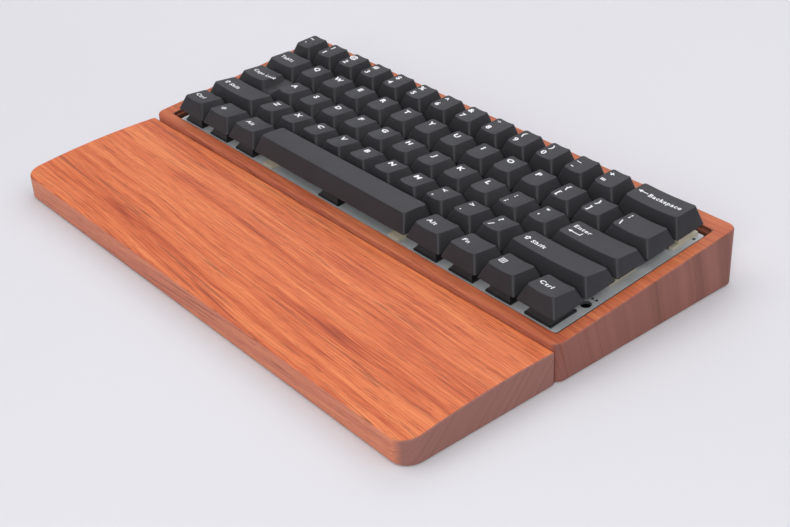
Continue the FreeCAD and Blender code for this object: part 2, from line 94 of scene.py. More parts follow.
NUMBERS = ["grave", "1", "2", "3", "4", "5", "6", "7", "8", "9", "0", "minus", "equals"]
TOP_LETTERS = ["q", "w", "e", "r", "t", "y", "u", "i", "o", "p", "left_bracket", "right_bracket"]
HOME = ["a", "s", "d", "f", "g", "h", "j", "k", "l", "semicolon", "quote"]
LOW = ["z", "x", "c", "v", "b", "n", "m", "comma", "period", "slash"]
ROWS = [
    (1, 4.5, [(k, 1.0) for k in NUMBERS] + [("backspace", 2.0)]),
    (2, 3.5, [("tab", 1.5)] + [(k, 1.0) for k in TOP_LETTERS] + [("backslash", 1.5)]),
    (3, 2.5, [("caps_lock", 1.75)] + [(k, 1.0) for k in HOME] + [("enter", 2.25)]),
    (4, 1.5, [("left_shift", 2.25)] + [(k, 1.0) for k in LOW] + [("right_shift", 2.75)]),
    (5, 0.5, [("left_ctrl", 1.25), ("system", 1.25), ("left_alt", 1.25), ("space", 6.25),
              ("right_alt", 1.25), ("fn", 1.25), ("menu", 1.25), ("right_ctrl", 1.25)]),
]
SHARED = {"numbers_left": NUMBERS[:6], "numbers_right": NUMBERS[6:],
          "top_letters_left": TOP_LETTERS[:6], "top_letters_right": TOP_LETTERS[6:]}
OWNER = {k: group for group, members in SHARED.items() for k in members}
STABILISED = {"backspace": 11.94, "enter": 11.94, "left_shift": 11.94, "right_shift": 11.94,
              "space": 50.0}

# ---- legends: heights of capitals, and places (across, back) on a cap's top ----------------
LETTER_H = 3.0
SIGN_H = 3.1
WORD_H = 2.5
WIDEN = 1.12
BOLD, MEDIUM = 0.045, 0.028
WORD_SPACING = 1.18
ALONE = (-2.4, 2.6)
UPPER = (-3.0, 3.1)
LOWER = (-3.0, -3.1)
PAIRS = {
    "grave": ("`", "~"), "1": ("1", "!"), "2": ("2", "@"), "3": ("3", "#"), "4": ("4", "$"),
    "5": ("5", "%"), "6": ("6", "^"), "7": ("7", "&"), "8": ("8", "*"), "9": ("9", "("),
    "0": ("0", ")"), "minus": ("-", "_"), "equals": ("=", "+"), "left_bracket": ("[", "{"),
    "right_bracket": ("]", "}"), "semicolon": (";", ":"), "quote": ("'", '"'),
    "comma": (",", "<"), "period": (".", ">"), "slash": ("/", "?"),
}

# ---- camera: place in metres, then degrees about Z, about its own X and about its own axis --
CAMERA_AT = (0.47326, -0.35088, 0.34702)
CAMERA_TURN = 51.581
CAMERA_PITCH = 58.199
CAMERA_ROLL = -2.986
CAMERA_LENS = 63.186


# ---- mesh helpers -------------------------------------------------------------------------
def on_board(points, x=0.0, y=0.0):
    """Board frame points, moved by (x, y), in the model's frame and in metres."""
    p = np.asarray(points, float)
    c, s = math.cos(TILT), math.sin(TILT)
    yy = p[:, 1] + y
    out = np.empty_like(p)
    out[:, 0] = BOARD_ORIGIN[0] + p[:, 0] + x
    out[:, 1] = BOARD_ORIGIN[1] + yy * c - p[:, 2] * s
    out[:, 2] = BOARD_ORIGIN[2] + yy * s + p[:, 2] * c
    return out * MM


def outline(w, d, r, nx=8, ny=8, nc=6):
    """Rounded rectangle about the origin, anticlockwise; every size gives matching points."""
    r = max(r, 0.02)
    x, y = w / 2 - r, d / 2 - r
    points = []
    corners = [(x, -y, -90, ny), (x, y, 0, nx), (-x, y, 90, ny), (-x, -y, 180, nx)]
    for i, (cx, cy, start, count) in enumerate(corners):
        for k in range(nc + 1):
            a = math.radians(start + 90 * k / nc)
            points.append((cx + r * math.cos(a), cy + r * math.sin(a)))
        nxt = corners[(i + 1) % 4]
        a = math.radians(nxt[2])
        end = (nxt[0] + r * math.cos(a), nxt[1] + r * math.sin(a))
        last = points[-1]
        for k in range(1, count):
            t = k / count
            points.append((last[0] + (end[0] - last[0]) * t, last[1] + (end[1] - last[1]) * t))
    return np.array(points)


def flat(ring, z):
    return np.column_stack([ring, np.full(len(ring), float(z))])


def loft(rings, closed=True):
    """Points and faces of a skin through matching rings, closed by a face at each end."""
    n = len(rings[0])
    faces = []
    for i in range(len(rings) - 1):
        for j in range(n):
            k = (j + 1) % n
            faces.append((i * n + j, i * n + k, (i + 1) * n + k, (i + 1) * n + j))
    if closed:
        faces.append(tuple(range(n - 1, -1, -1)))
        faces.append(tuple(range((len(rings) - 1) * n, len(rings) * n)))
    return np.vstack(rings), faces


def joined(shells):
    """Several (points, faces) as one."""
    points, faces, start = [], [], 0
    for p, f in shells:
        points.append(p)
        faces += [tuple(i + start for i in face) for face in f]
        start += len(p)
    return np.vstack(points), faces


def make_object(name, points, faces, material, smooth_angle=35):
    """Mesh object from points in metres, smooth except across sharp edges."""
    mesh = bpy.data.meshes.new(name)
    mesh.from_pydata([tuple(p) for p in points], [], faces)
    mesh.update()
    bm = bmesh.new()
    bm.from_mesh(mesh)
    bmesh.ops.recalc_face_normals(bm, faces=bm.faces)
    limit = math.radians(smooth_angle)
    for f in bm.faces:
        f.smooth = True
    for e in bm.edges:
        e.smooth = len(e.link_faces) == 2 and e.calc_face_angle(0.0) < limit
    bm.to_mesh(mesh)
    bm.free()
    mesh.materials.append(material)
    obj = bpy.data.objects.new(name, mesh)
    bpy.context.scene.collection.objects.link(obj)
    return obj


# ---- material helpers ---------------------------------------------------------------------
class Paint:
    """A Principled material whose nodes are added by short calls."""

    def __init__(self, name, **values):
        self.mat = bpy.data.materials.new(name)
        self.mat.use_nodes = True
        self.tree = self.mat.node_tree
        self.bsdf = next(n for n in self.tree.nodes if n.type == "BSDF_PRINCIPLED")
        for key, value in values.items():
            self.bsdf.inputs[key.replace("_", " ")].default_value = value
        self.object = self.node("ShaderNodeTexCoord").outputs["Object"]

    def node(self, kind, inputs=(), **options):
        n = self.tree.nodes.new(kind)
        for key, value in options.items():
            setattr(n, key, value)
        for key, value in dict(inputs).items():
            self.feed(n.inputs[key], value)
        return n

    def feed(self, socket, value):
        if isinstance(value, bpy.types.NodeSocket):
            self.tree.links.new(value, socket)
        else:
            socket.default_value = value

    def math(self, operation, a, b=0.0):
        return self.node("ShaderNodeMath", {0: a, 1: b}, operation=operation).outputs[0]

    def scaled(self, vector, factors):
        n = self.node("ShaderNodeVectorMath", {0: vector, 1: factors}, operation="MULTIPLY")
        return n.outputs[0]

    def noise(self, vector, scale=1.0, detail=2.0, roughness=0.5):
        n = self.node("ShaderNodeTexNoise", {"Vector": vector, "Scale": scale, "Detail": detail,
                                             "Roughness": roughness})
        return n.outputs[0]

    def span(self, value, low, high, out_low=0.0, out_high=1.0):
        n = self.node("ShaderNodeMapRange", {0: value, 1: low, 2: high, 3: out_low, 4: out_high})
        return n.outputs[0]

    def ramp(self, value, stops):
        n = self.node("ShaderNodeValToRGB", {0: value})
        ramp = n.color_ramp
        while len(ramp.elements) < len(stops):
            ramp.elements.new(0.5)
        for element, (at, colour) in zip(ramp.elements, stops):
            element.position = at
            element.color = (*colour, 1.0)
        return n.outputs[0]

    def mix(self, factor, a, b):
        n = self.node("ShaderNodeMix", data_type="RGBA")
        for socket, value in ((n.inputs[0], factor), (n.inputs[6], a), (n.inputs[7], b)):
            if isinstance(value, tuple) and len(value) == 3:
                value = (*value, 1.0)
            self.feed(socket, value)
        return n.outputs[2]

    def xyz(self, vector):
        return self.node("ShaderNodeSeparateXYZ", {0: vector}).outputs

    def combined(self, x, y, z):
        return self.node("ShaderNodeCombineXYZ", {0: x, 1: y, 2: z}).outputs[0]

    def bump(self, height, strength, distance):
        n = self.node("ShaderNodeBump", {"Height": height, "Strength": strength,
                                         "Distance": distance})
        self.feed(self.bsdf.inputs["Normal"], n.outputs[0])

    def colour(self, value):
        self.feed(self.bsdf.inputs["Base Color"], value)

    def roughness(self, value):
        self.feed(self.bsdf.inputs["Roughness"], value)


def moulded(name, dark, light, rough, grain=0.25, depth=0.000012, specular=0.5):
    """Moulded plastic: a slight drift of colour, and a fine spark-eroded grain."""
    p = Paint(name)
    p.bsdf.inputs["Specular IOR Level"].default_value = specular
    mm = p.scaled(p.object, (1000.0, 1000.0, 1000.0))
    drift = p.noise(mm, 0.06, 3.0)
    fine = p.noise(mm, 1.0 / grain, 2.0, 0.6)
    tone = p.math("ADD", p.math("MULTIPLY", drift, 0.6), p.math("MULTIPLY", fine, 0.4))
    p.colour(p.ramp(tone, [(0.35, dark), (0.65, light)]))
    p.roughness(p.span(fine, 0.3, 0.7, rough - 0.05, rough + 0.05))
    p.bump(fine, 0.5, depth)
    return p.mat


def wood(name, ring_centre, seed, end_bands, end_lines, end_calm, shade, shaded_pocket=None):
    """Oiled reddish hardwood with straight grain along X; its growth rings stand nearly upright.

    ring_centre is the tree's middle in (y, z). On the end faces the rings show as end_bands to the
    millimetre, flattened by end_calm, and end_lines is how much of the fine lines they show. shade
    darkens the whole. Where a pocket is given (centre and half size in x and in y), shade is painted
    inside it: the wood there is darkened as if in the shadow of the case's opening.
    """
    p = Paint(name)
    p.bsdf.inputs["Specular IOR Level"].default_value = 0.28
    mm = p.scaled(p.object, (1000.0, 1000.0, 1000.0))
    x, y, z = p.xyz(mm)
    moved = p.node("ShaderNodeVectorMath", {0: mm, 1: (seed, seed * 0.7, seed * 0.3)},
                   operation="ADD").outputs[0]
    wave = p.math("SUBTRACT", p.noise(p.scaled(moved, (0.005, 0.014, 0.014)), 1.0, 2.0), 0.5)
    ripple = p.math("SUBTRACT", p.noise(p.scaled(moved, (0.035, 0.09, 0.09)), 1.0, 2.0), 0.5)
    dy = p.math("SUBTRACT", y, ring_centre[0])
    dz = p.math("SUBTRACT", z, ring_centre[1])
    reach = p.math("SQRT", p.math("ADD", p.math("MULTIPLY", dy, dy), p.math("MULTIPLY", dz, dz)))
    ring = p.math("ADD", reach, p.math("MULTIPLY", wave, 7.0))
    ring = p.math("ADD", ring, p.math("MULTIPLY", ripple, 0.55))
    ring = p.math("ADD", ring, p.math("MULTIPLY", x, 0.03))

    def streaks(along, across, detail, roughness, shift):
        vector = p.combined(p.math("MULTIPLY", x, along), p.math("MULTIPLY", ring, across),
                            seed + shift)
        return p.noise(vector, 1.0, detail, roughness)

    broad = streaks(0.0035, 0.075, 3.0, 0.5, 0.0)
    medium = streaks(0.009, 0.46, 3.0, 0.6, 7.0)
    fine = streaks(0.032, 2.3, 2.0, 0.6, 13.0)
    tone = p.math("MULTIPLY", broad, 0.30)
    tone = p.math("ADD", tone, p.math("MULTIPLY", medium, 0.34))
    tone = p.math("ADD", tone, p.math("MULTIPLY", fine, 0.36))
    flat_grain = p.ramp(tone, [
        (0.37, (0.310, 0.048, 0.016)),
        (0.44, (0.530, 0.106, 0.035)),
        (0.50, (0.665, 0.162, 0.054)),
        (0.61, (0.790, 0.258, 0.092)),
    ])
    bands = p.noise(p.combined(0.0, p.math("MULTIPLY", ring, end_bands), seed + 31.0), 1.0, 3.0, 0.55)
    end_tone = p.math("ADD", p.math("MULTIPLY", bands, 0.7), p.math("MULTIPLY", fine, 0.3))
    end_grain = p.ramp(end_tone, [
        (0.34, (0.100, 0.056, 0.051)),
        (0.44, (0.230, 0.108, 0.090)),
        (0.60, (0.330, 0.152, 0.124)),
    ])
    end_grain = p.mix(end_calm, end_grain, (0.290, 0.130, 0.104))
    normal = p.xyz(p.node("ShaderNodeTexCoord").outputs["Normal"])
    # Painted sheen: faces that stand upright are mixed towards a pale pink, as if they reflected the
    # bright floor.
    upright = p.span(p.math("ABSOLUTE", normal[2]), 0.85, 0.40)
    end = p.span(p.math("ABSOLUTE", normal[0]), 0.15, 0.60)
    colour = p.mix(p.math("MULTIPLY", upright, 0.70), flat_grain,
                   p.mix(0.5, flat_grain, (0.600, 0.310, 0.245)))
    colour = p.mix(end, colour, end_grain)
    lines = p.span(end, 0.0, 1.0, 1.0, end_lines)
    vein = p.math("ABSOLUTE", p.math("SUBTRACT", streaks(0.0030, 0.30, 2.0, 0.5, 23.0), 0.5))
    vein = p.span(vein, 0.0, 0.012, 1.0, 0.0)
    vein = p.math("MULTIPLY", vein, lines)
    colour = p.mix(p.math("MULTIPLY", vein, 0.60), colour, (0.170, 0.045, 0.026))
    pores = p.noise(p.scaled(moved, (0.10, 2.3, 2.3)), 1.0, 2.0, 0.55)
    pores = p.math("MULTIPLY", p.span(pores, 0.58, 0.68), lines)
    colour = p.mix(p.math("MULTIPLY", pores, 0.60), colour, (0.230, 0.045, 0.020))
    colour = p.mix(shade, colour, (0.230, 0.062, 0.036))
    # Painted shade: within the pocket the wood is darkened towards deep brown, as if shadowed by the
    # opening.
    if shaded_pocket:
        inside = []
        for value, (centre, half) in zip((x, y), shaded_pocket):
            away = p.math("ABSOLUTE", p.math("SUBTRACT", value, centre))
            inside.append(p.span(away, half + 0.2, half + 0.05))
        inside = p.math("MULTIPLY", *inside)
        colour = p.mix(p.math("MULTIPLY", inside, 0.72), colour, (0.085, 0.030, 0.020))
    p.colour(colour)
    p.roughness(p.span(fine, 0.3, 0.7, 0.44, 0.56))
    height = p.math("SUBTRACT", p.math("MULTIPLY", fine, 0.5), pores)
    p.bump(height, 0.35, 0.00005)
    return p.mat


def brushed(name, colour_low, colour_high, rough, metallic=1.0, along=(0.02, 3.5, 3.5), edge_shade=0.0):
    """Metal with fine lines along X and a faint mottle; its upright faces get painted shade, darkened
    towards black by as much as the last argument says.
    """
    p = Paint(name, Metallic=metallic)
    mm = p.scaled(p.object, (1000.0, 1000.0, 1000.0))
    lines = p.noise(p.scaled(mm, along), 1.0, 3.0, 0.6)
    mottle = p.noise(mm, 0.12, 3.0)
    tone = p.math("ADD", p.math("MULTIPLY", lines, 0.5), p.math("MULTIPLY", mottle, 0.5))
    colour = p.ramp(tone, [(0.35, colour_low), (0.65, colour_high)])
    # Painted shade: upright faces, such as the edges of the plate's holes, are darkened nearly to black.
    if edge_shade:
        facing = p.math("ABSOLUTE", p.xyz(p.node("ShaderNodeTexCoord").outputs["Normal"])[2])
        colour = p.mix(p.math("MULTIPLY", p.span(facing, 0.9, 0.5), edge_shade), colour, (0.03, 0.03, 0.03))
    p.colour(colour)
    p.roughness(p.span(lines, 0.3, 0.7, rough - 0.07, rough + 0.07))
    p.bump(lines, 0.25, 0.00001)
    return p.mat


def solder_mask(name):
    """Dark board coating with the faint relief of tracks under it."""
    p = Paint(name)
    mm = p.scaled(p.object, (1000.0, 1000.0, 1000.0))
    cells = p.node("ShaderNodeTexVoronoi", {"Vector": mm, "Scale": 0.35}, distance="MANHATTAN")
    track = p.span(cells.outputs["Distance"], 0.30, 0.36)
    p.colour(p.mix(track, (0.010, 0.014, 0.012), (0.018, 0.026, 0.021)))
    p.roughness(p.span(track, 0.0, 1.0, 0.42, 0.34))
    p.bump(track, 0.4, 0.00002)
    return p.mat


CAP_PLASTIC = moulded("keycap_plastic", (0.019, 0.019, 0.0215), (0.026, 0.026, 0.029), 0.50,
                      specular=0.36)
LEGEND_PLASTIC = moulded("legend_plastic", (0.74, 0.74, 0.76), (0.84, 0.84, 0.86), 0.55)
BLACK_PLASTIC = moulded("switch_plastic", (0.008, 0.008, 0.009), (0.014, 0.014, 0.015), 0.42)
STEM_PLASTIC = moulded("stem_plastic", (0.020, 0.020, 0.022), (0.032, 0.032, 0.034), 0.35)
CREAM_PLASTIC = moulded("stabilizer_plastic", (0.50, 0.46, 0.34), (0.60, 0.55, 0.42), 0.48)
CHIP_EPOXY = moulded("chip_epoxy", (0.012, 0.012, 0.012), (0.022, 0.022, 0.022), 0.55)
RUBBER = moulded("foot_rubber", (0.014, 0.014, 0.014), (0.024, 0.024, 0.024), 0.78, grain=0.4)
CASE_WOOD = wood("case_wood", ring_centre=(-310.0, -70.0), seed=3.0, end_bands=0.11, end_lines=1.0,
                 end_calm=0.0, shade=0.40, shaded_pocket=(POCKET_X, POCKET_Y))
REST_WOOD = wood("wrist_rest_wood", ring_centre=(-310.0, 240.0), seed=41.0, end_bands=0.5,
                 end_lines=0.15, end_calm=0.6, shade=0.05)
PLATE_STEEL = brushed("plate_steel", (0.40, 0.42, 0.42), (0.50, 0.52, 0.52), 0.5, metallic=0.15,
                      edge_shade=0.85)
WIRE_STEEL = brushed("wire_steel", (0.52, 0.52, 0.53), (0.62, 0.62, 0.63), 0.30)
SPRING_STEEL = brushed("spring_steel", (0.56, 0.50, 0.38), (0.66, 0.60, 0.46), 0.30)
TURNED_BRASS = brushed("turned_brass", (0.60, 0.42, 0.17), (0.70, 0.50, 0.22), 0.30)
BOARD_MASK = solder_mask("board_mask")


# ---- keycaps ------------------------------------------------------------------------------
def cap_place(row, dx):
    """Centre and axes (across, back, up) of the plane of a cap's top."""
    t = math.radians(TOP_TILT[row])
    centre = np.array([dx, SKEW[row], BASE_Z + TOP_Z[row]])
    axes = np.array([[1, 0, 0], [0, math.cos(t), -math.sin(t)], [0, math.sin(t), math.cos(t)]])
    return centre, axes


def dished(half_w):
    """Height of a cylindrical dish as a function of (across, back)."""
    return lambda u, v: -DISH * (1.0 - np.minimum(1.0, np.abs(u) / half_w) ** 2)


def crowned(half_d):
    return lambda u, v: -CROWN * np.minimum(1.3, np.abs(v) / half_d) ** 2


def cap_shell(row, base_w, top_w, surface, dx=0.0, counts=(8, 8), edge=0.28):
    """Closed shell of a cap: roof and walls inside, rounded edges and a shaped top outside."""
    nx, ny = counts
    centre, axes = cap_place(row, dx)

    def ring(w, d, r):
        return outline(w, d, r, nx, ny)

    def lifted(uv, h):
        return centre + np.column_stack([uv, h]) @ axes

    base = flat(ring(base_w, CAP_D, BASE_R), BASE_Z) + (dx, 0, 0)
    top_d = TOP_D[row]
    plane = ring(top_w, top_d, TOP_R)
    top = lifted(plane, np.zeros(len(plane)))
    fall = base - top
    drop = -(fall @ axes[2])
    # The rim lies where the sides meet the shaped surface, found by a few corrections.
    uv = plane
    for _ in range(3):
        rim = top + fall * (-surface(uv[:, 0], uv[:, 1]) / drop)[:, None]
        uv = ((rim - centre) @ axes.T)[:, :2]
    down = fall / np.linalg.norm(fall, axis=1)[:, None]
    inner = ring(top_w - 2 * edge, top_d - 2 * edge, TOP_R - edge)
    lip = lifted(inner, surface(inner[:, 0], inner[:, 1]))
    side = rim + down * edge
    roof = ring(top_w - 2 * WALL, top_d - 2 * WALL, 0.8)
    rings = [lifted(roof, np.full(len(roof), -ROOF)),
             flat(ring(base_w - 2 * WALL, CAP_D - 2 * WALL, 0.5), BASE_Z) + (dx, 0, 0),
             flat(ring(base_w - 0.4, CAP_D - 0.4, BASE_R - 0.2), BASE_Z) + (dx, 0, 0)]
    start = base + (side - base) * 0.03
    for t in (0.0, 0.25, 0.5, 0.75, 1.0):
        rings.append(start + (side - start) * t)
    for t in (0.2, 0.4, 0.6, 0.8):
        rings.append((1 - t) ** 2 * side + 2 * t * (1 - t) * rim + t * t * lip)
    for s in (1.0, 0.86, 0.7, 0.54, 0.38, 0.22, 0.08):
        rings.append(lifted(inner * s, surface(inner[:, 0] * s, inner[:, 1] * s)))
    return loft(rings)


def ledge_shell(base_w, dx, counts):
    """Low ledge of the stepped key, beside the wall of its raised part."""
    nx, ny = counts
    share = LEDGE_Z / TOP_Z[3]
    low = (dx + (RAISED_TOP + RAISED_SPREAD) / 2 - WALL - 0.1, base_w / 2)
    high = (low[0] - RAISED_SPREAD / 2 * share, low[1] - LEDGE_SPREAD / 2 * share)

    def ring(ends, inset, d, r, z):
        w = ends[1] - ends[0] - 2 * inset
        return flat(outline(w, d - 2 * inset, r, nx, ny), z) + (sum(ends) / 2, 0.0, 0.0)

    d = CAP_D + (TOP_D[3] - CAP_D) * share
    r = BASE_R + (TOP_R - BASE_R) * share
    shift = np.array([0.0, SKEW[3] * share, 0.0])
    edge = 0.4
    base = ring(low, 0.0, CAP_D, BASE_R, BASE_Z)
    top = ring(high, 0.0, d, r, BASE_Z + LEDGE_Z) + shift
    inner = ring(high, edge, d, r - edge, BASE_Z + LEDGE_Z) + shift
    rings = [ring(high, WALL, d, 0.5, BASE_Z + LEDGE_Z - WALL) + shift,
             ring(low, WALL, CAP_D, 0.5, BASE_Z),
             ring(low, 0.2, CAP_D, BASE_R - 0.2, BASE_Z)]
    fall = base - top
    side = top + fall / np.linalg.norm(fall, axis=1)[:, None] * edge
    start = base + (side - base) * 0.06
    rings += [start + (side - start) * t for t in (0.0, 0.5, 1.0)]
    for t in (0.25, 0.5, 0.75):
        rings.append((1 - t) ** 2 * side + 2 * t * (1 - t) * top + t * t * inner)
    centre = inner.mean(axis=0)
    rings += [inner, centre + (inner - centre) * 0.5]
    return loft(rings)


def cross_outline(arm, thick_x, thick_y):
    """Outline of a cross, with a point in the middle of each of its twelve sides."""
    a, tx, ty = arm / 2, thick_x / 2, thick_y / 2
    corners = [(a, -ty), (a, ty), (tx, ty), (tx, a), (-tx, a), (-tx, ty),
               (-a, ty), (-a, -ty), (-tx, -ty), (-tx, -a), (tx, -a), (tx, -ty)]
    points = []
    for i, p in enumerate(corners):
        q = corners[(i + 1) % 12]
        points += [p, ((p[0] + q[0]) / 2, (p[1] + q[1]) / 2)]
    return np.array(points)


def post_shell(x, row):
    """Round post under the roof with a cross-shaped socket."""
    longer, thicker = SOCKET_ROOM
    hole = cross_outline(CROSS_ARM + longer, *(t + thicker for t in CROSS_THICK))
    angle = np.arctan2(hole[:, 1], hole[:, 0])
    rod = np.column_stack([np.cos(angle), np.sin(angle)]) * POST_R
    low = HOUSING_TOP + POST_GAP
    high = CROSS_TOP + 0.15
    slope = math.tan(math.radians(TOP_TILT[row]))

    def roof(p):
        return BASE_Z + TOP_Z[row] - ROOF - (p[:, 1] - SKEW[row]) * slope

    rings = [flat(hole * 0.02, high), flat(hole, high), flat(hole, low + 0.1),
             flat(hole * 1.03, low), flat(rod * 0.97, low), flat(rod, low + 0.15),
             np.column_stack([rod, roof(rod)]), np.column_stack([rod * 0.02, roof(rod * 0.02)])]
    p, f = loft(rings)
    return p + (x, 0, 0), f


def chamfered(w, d, z0, z1, c=0.15, r=0.3):
    """Upright block with small chamfers."""
    wide = outline(w, d, r, 1, 1, 3)
    narrow = outline(w - 2 * c, d - 2 * c, r, 1, 1, 3)
    return loft([flat(narrow, z0), flat(wide, z0 + c), flat(wide, z1 - c), flat(narrow, z1)])


def stem_shells(x, slim=False):
    """Slider with the cross that a cap is pushed onto; slim is the stabiliser's."""
    cross = cross_outline(CROSS_ARM, *CROSS_THICK)
    shells = [loft([flat(cross, HOUSING_TOP - 0.2), flat(cross, CROSS_TOP - 0.12),
                    flat(cross * 0.95, CROSS_TOP)])]
    if slim:
        shells += [chamfered(*STAB_HEAD), chamfered(*STAB_LEG, 0.1, 0.1)]
    else:
        pole = outline(2 * POLE_R, 2 * POLE_R, POLE_R, 1, 1, 5)
        shells += [chamfered(*SLIDER_NECK), chamfered(*SLIDER_BODY),
                   loft([flat(pole * 0.8, POLE_LOW), flat(pole, POLE_LOW + 0.3), flat(pole, POLE_HIGH)])]
    return [(p + (x, 0, 0), f) for p, f in shells]


def body_of(key):
    return "key_" + OWNER.get(key, key)


def cap_parts(row, key, units):
    """Shells of a cap but for its posts, how far its top is set aside, and the top's surface."""
    base_w = units * PITCH - 2 * CAP_GAP
    top_w = TOP_W + (units - 1) * PITCH
    counts = (max(8, int(top_w / 1.3)), 9)
    if key == "caps_lock":
        raised_w = RAISED_TOP + RAISED_SPREAD
        dx = -(base_w - raised_w) / 2
        surface = dished(RAISED_TOP / 2)
        raised = cap_shell(row, raised_w, RAISED_TOP, surface, dx, counts)
        return [raised, ledge_shell(base_w, dx, (6, 9))], dx, surface
    if key == "space":
        surface = crowned(TOP_D[key] / 2)
        return [cap_shell(key, base_w, top_w + SPACE_WIDER, surface, 0.0, counts)], 0.0, surface
    surface = dished(top_w / 2)
    return [cap_shell(row, base_w, top_w, surface, 0.0, counts)], 0.0, surface


def make_keys():
    """One cap for each key, one set of stems for each body; returns what legends need."""
    stems = {}
    surfaces = {}
    for row, centre_y, keys in ROWS:
        x = 0.0
        for key, units in keys:
            px, py = (x + units / 2) * PITCH, centre_y * PITCH
            x += units
            shells, dx, surface = cap_parts(row, key, units)
            spots = [0.0]
            if key in STABILISED:
                spots += [-STABILISED[key], STABILISED[key]]
            shells += [post_shell(s, "space" if key == "space" else row) for s in spots]
            points, faces = joined(shells)
            cap = make_object("cap_" + key, on_board(points, px, py), faces, CAP_PLASTIC)
            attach(cap, body_of(key))
            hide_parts(body_of(key))
            surfaces[key] = (px, py, row, dx, surface)
            for i, s in enumerate(spots):
                for p, f in stem_shells(s, slim=i > 0):
                    stems.setdefault(body_of(key), []).append((on_board(p, px, py), f))
    for body, shells in stems.items():
        points, faces = joined(shells)
        stem = make_object("stems_" + body[4:], points, faces, STEM_PLASTIC)
        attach(stem, body)
    return surfaces


# ---- legends ------------------------------------------------------------------------------
def text_shape(text, weight=BOLD):
    """Flat mesh of a line of text: points, triangles, on the baseline, capitals 1 high."""
    data = bpy.data.curves.new("legend_text", "FONT")
    data.body = text
    data.size = 1.0
    data.offset = weight
    data.space_character = WORD_SPACING
    data.resolution_u = 3
    data.fill_mode = "FRONT"
    return curve_shape(data)


def curve_shape(data):
    obj = bpy.data.objects.new("legend_curve", data)
    bpy.context.scene.collection.objects.link(obj)
    graph = bpy.context.evaluated_depsgraph_get()
    graph.update()
    mesh = bpy.data.meshes.new_from_object(obj.evaluated_get(graph))
    points = np.array([v.co for v in mesh.vertices], float).reshape(-1, 3)[:, :2]
    faces = [tuple(f.vertices) for f in mesh.polygons]
    bpy.data.meshes.remove(mesh)
    bpy.data.objects.remove(obj)
    bpy.data.curves.remove(data)
    return points, faces


def drawn_shape(loops):
    """Flat mesh of closed polygons; one inside another is a hole."""
    data = bpy.data.curves.new("legend_symbol", "CURVE")
    data.dimensions = "2D"
    data.fill_mode = "FRONT"
    for loop in loops:
        spline = data.splines.new("POLY")
        spline.points.add(len(loop) - 1)
        for point, (x, y) in zip(spline.points, loop):
            point.co = (x, y, 0.0, 1.0)
        spline.use_cyclic_u = True
    return curve_shape(data)


def block(x0, y0, x1, y1):
    return [(x0, y0), (x1, y0), (x1, y1), (x0, y1)]


def arrow_left(length, width, head, bar):
    """Solid arrow that points to the left, centred."""
    x, h, b = length / 2, width / 2, bar / 2
    neck = -x + head
    return [(-x, 0), (neck, -h), (neck, -b), (x, -b), (x, b), (neck, b), (neck, h)]


def shift_arrow(s):
    """Outlined arrow that points up."""
    outer = [(0, 1.6), (-1.5, 0.1), (-0.75, 0.1), (-0.75, -1.4),
             (0.75, -1.4), (0.75, 0.1), (1.5, 0.1)]
    inner = [(0, 0.82), (-0.42, 0.48), (-0.28, 0.48), (-0.28, -0.92),
             (0.28, -0.92), (0.28, 0.48), (0.42, 0.48)]
    return [[(x * s, y * s) for x, y in p] for p in (outer, inner)]


def enter_arrow(s):
    """Arrow to the left with a tail that turns up at its right end."""
    return [[(x * s, y * s) for x, y in [
        (-3.2, -0.55), (-1.6, -1.45), (-1.6, -0.8), (2.9, -0.8), (2.9, 1.3), (2.4, 1.3),
        (2.4, -0.3), (-1.6, -0.3), (-1.6, 0.35)]]]


def tab_arrows(s):
    """A pair of thin arrows, one each way, each against a bar."""
    loops = []
    for y, side in ((0.62, -1), (-0.62, 1)):
        arrow = [(1.55, 0), (0.75, 0.55), (0.75, 0.17), (-1.4, 0.17),
                 (-1.4, -0.17), (0.75, -0.17), (0.75, -0.55)]
        for shape in (arrow, block(1.6, -0.55, 1.9, 0.55)):
            loops.append([(side * px * s, (y + py) * s) for px, py in shape])
    return loops


def diamond(s):
    """Generic system symbol: an outlined diamond with a solid one inside."""
    return [[(0, r), (-r, 0), (0, -r), (r, 0)] for r in (s, s * 0.72, s * 0.42)]


def menu_list(s):
    """Sheet with three lines."""
    loops = [block(-1.5, -1.7, 1.5, 1.7), block(-1.1, -1.3, 1.1, 1.3)]
    loops += [block(-0.75, y - 0.18, 0.75, y + 0.18) for y in (-0.72, 0.0, 0.72)]
    return [[(x * s, y * s) for x, y in p] for p in loops]


def thickened(points, faces, longest=0.55, low=-0.06, high=0.02):
    """Solid of a flat mesh in millimetres, split until its edges are short."""
    bm = bmesh.new()
    verts = [bm.verts.new((x, y, 0.0)) for x, y in points]
    for f in faces:
        bm.faces.new([verts[i] for i in f])
    bmesh.ops.remove_doubles(bm, verts=bm.verts, dist=1e-4)
    bmesh.ops.triangulate(bm, faces=bm.faces)
    for _ in range(5):
        long_edges = [e for e in bm.edges if e.calc_length() > longest]
        if not long_edges:
            break
        bmesh.ops.subdivide_edges(bm, edges=long_edges, cuts=1)
        bmesh.ops.triangulate(bm, faces=bm.faces)
    bmesh.ops.recalc_face_normals(bm, faces=bm.faces)
    if sum(f.normal.z for f in bm.faces) < 0:
        bmesh.ops.reverse_faces(bm, faces=bm.faces)
    for v in bm.verts:
        v.co.z = low
    grown = bmesh.ops.extrude_face_region(bm, geom=list(bm.faces))
    for v in grown["geom"]:
        if isinstance(v, bmesh.types.BMVert):
            v.co.z = high
    bmesh.ops.recalc_face_normals(bm, faces=bm.faces)
    bm.verts.index_update()
    out = np.array([v.co for v in bm.verts], float)
    out_faces = [tuple(v.index for v in f.verts) for f in bm.faces]
    bm.free()
    return out, out_faces


